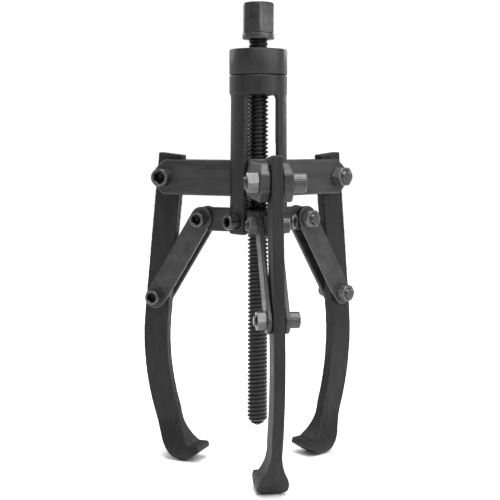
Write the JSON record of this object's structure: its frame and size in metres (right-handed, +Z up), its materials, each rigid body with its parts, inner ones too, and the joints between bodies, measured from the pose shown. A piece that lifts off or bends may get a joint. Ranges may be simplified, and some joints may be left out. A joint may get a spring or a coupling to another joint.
{
  "type": "gear puller",
  "caption": "Self-centring gear puller: a collar on the forcing screw slides a cage whose links swing the hooked jaws in and out together.",
  "frame": {"origin": "on the screw axis, in the plane that the three feet stand on", "axes": "+Z up along the forcing screw, from its point to its hexagon; one arm points along -Y, the others 30 degrees above +X and -X"},
  "size_m": [0.1736, 0.157, 0.3625],
  "materials": {
    "forged_steel": "black oxide over forged steel, satin",
    "turned_steel": "black oxide over machined steel, fine turning marks",
    "link_steel": "black oxide over rolled flat bar",
    "screw_steel": "black oxide, oiled thread",
    "fastener_steel": "black alloy cap screws and nuts"
  },
  "bodies": {
    "upper_hub": {"upper_hub": "forged_steel", "jaw_pivot_bolt_1": "fastener_steel", "jaw_pivot_nut_1": "fastener_steel", "jaw_pivot_bolt_2": "fastener_steel", "jaw_pivot_nut_2": "fastener_steel", "jaw_pivot_bolt_3": "fastener_steel", "jaw_pivot_nut_3": "fastener_steel"},
    "cage": {"cage": "turned_steel", "lower_hub": "forged_steel", "leg_screw_1": "fastener_steel", "leg_screw_2": "fastener_steel", "leg_screw_3": "fastener_steel"},
    "collar": {"adjusting_collar": "turned_steel", "retaining_ring": "fastener_steel"},
    "screw_point": {"screw_point": "screw_steel"},
    "forcing_screw": {"forcing_screw": "screw_steel"},
    "jaw_1": {"jaw_1": "forged_steel"},
    "jaw_2": {"jaw_2": "forged_steel"},
    "jaw_3": {"jaw_3": "forged_steel"},
    "links_1": {"link_1_head_side": "link_steel", "link_1_nut_side": "link_steel", "link_upper_bolt_1": "fastener_steel", "link_upper_nut_1": "fastener_steel", "link_lower_bolt_1": "fastener_steel", "link_lower_nut_1": "fastener_steel"},
    "links_2": {"link_2_head_side": "link_steel", "link_2_nut_side": "link_steel", "link_upper_bolt_2": "fastener_steel", "link_upper_nut_2": "fastener_steel", "link_lower_bolt_2": "fastener_steel", "link_lower_nut_2": "fastener_steel"},
    "links_3": {"link_3_head_side": "link_steel", "link_3_nut_side": "link_steel", "link_upper_bolt_3": "fastener_steel", "link_upper_nut_3": "fastener_steel", "link_lower_bolt_3": "fastener_steel", "link_lower_nut_3": "fastener_steel"}
  },
  "joints": [
    {"name": "cage_slide", "type": "slide", "parent": "upper_hub", "child": "cage", "axis": [0, 0, -1], "range_m": [-0.0056, 0.0151]},
    {"name": "collar_turn", "type": "hinge", "parent": "cage", "child": "collar", "pos_m": [0, 0, 0.318], "axis": [0, 0, -1], "range_deg": [-624, 1701]},
    {"name": "screw_advance", "type": "slide", "parent": "upper_hub", "child": "screw_point", "axis": [0, 0, -1], "range_m": [-0.15, 0.002]},
    {"name": "screw_spin", "type": "hinge", "parent": "screw_point", "child": "forcing_screw", "pos_m": [0, 0, 0.2], "axis": [0, 0, -1], "range_deg": [-17020, 230]},
    {"name": "jaw_1_swing", "type": "hinge", "parent": "upper_hub", "child": "jaw_1", "pos_m": [0, -0.0745, 0.2295], "axis": [-1, 0, 0], "range_deg": [-5.3, 14.4]},
    {"name": "links_1_swing", "type": "hinge", "parent": "jaw_1", "child": "links_1", "pos_m": [0, -0.0847, 0.1331], "axis": [-1, 0, 0], "range_deg": [-3.8, 9.8]},
    {"name": "jaw_2_swing", "type": "hinge", "parent": "upper_hub", "child": "jaw_2", "pos_m": [0.06452, 0.03725, 0.2295], "axis": [0.5, -0.866, 0], "range_deg": [-5.3, 14.4]},
    {"name": "links_2_swing", "type": "hinge", "parent": "jaw_2", "child": "links_2", "pos_m": [0.07335, 0.04235, 0.1331], "axis": [0.5, -0.866, 0], "range_deg": [-3.8, 9.8]},
    {"name": "jaw_3_swing", "type": "hinge", "parent": "upper_hub", "child": "jaw_3", "pos_m": [-0.06452, 0.03725, 0.2295], "axis": [0.5, 0.866, 0], "range_deg": [-5.3, 14.4]},
    {"name": "links_3_swing", "type": "hinge", "parent": "jaw_3", "child": "links_3", "pos_m": [-0.07335, 0.04235, 0.1331], "axis": [0.5, 0.866, 0], "range_deg": [-3.8, 9.8]}
  ],
  "couplings": [
    {"joint": "cage_slide", "follows": "collar_turn", "m_per_rad": 0.00050532},
    {"joint": "screw_spin", "follows": "screw_advance", "rad_per_m": 1979},
    {"joint": "jaw_1_swing", "follows": "collar_turn", "ratio": 0.008328},
    {"joint": "links_1_swing", "follows": "collar_turn", "ratio": 0.005268},
    {"joint": "jaw_2_swing", "follows": "collar_turn", "ratio": 0.008328},
    {"joint": "links_2_swing", "follows": "collar_turn", "ratio": 0.005268},
    {"joint": "jaw_3_swing", "follows": "collar_turn", "ratio": 0.008328},
    {"joint": "links_3_swing", "follows": "collar_turn", "ratio": 0.005268}
  ]
}
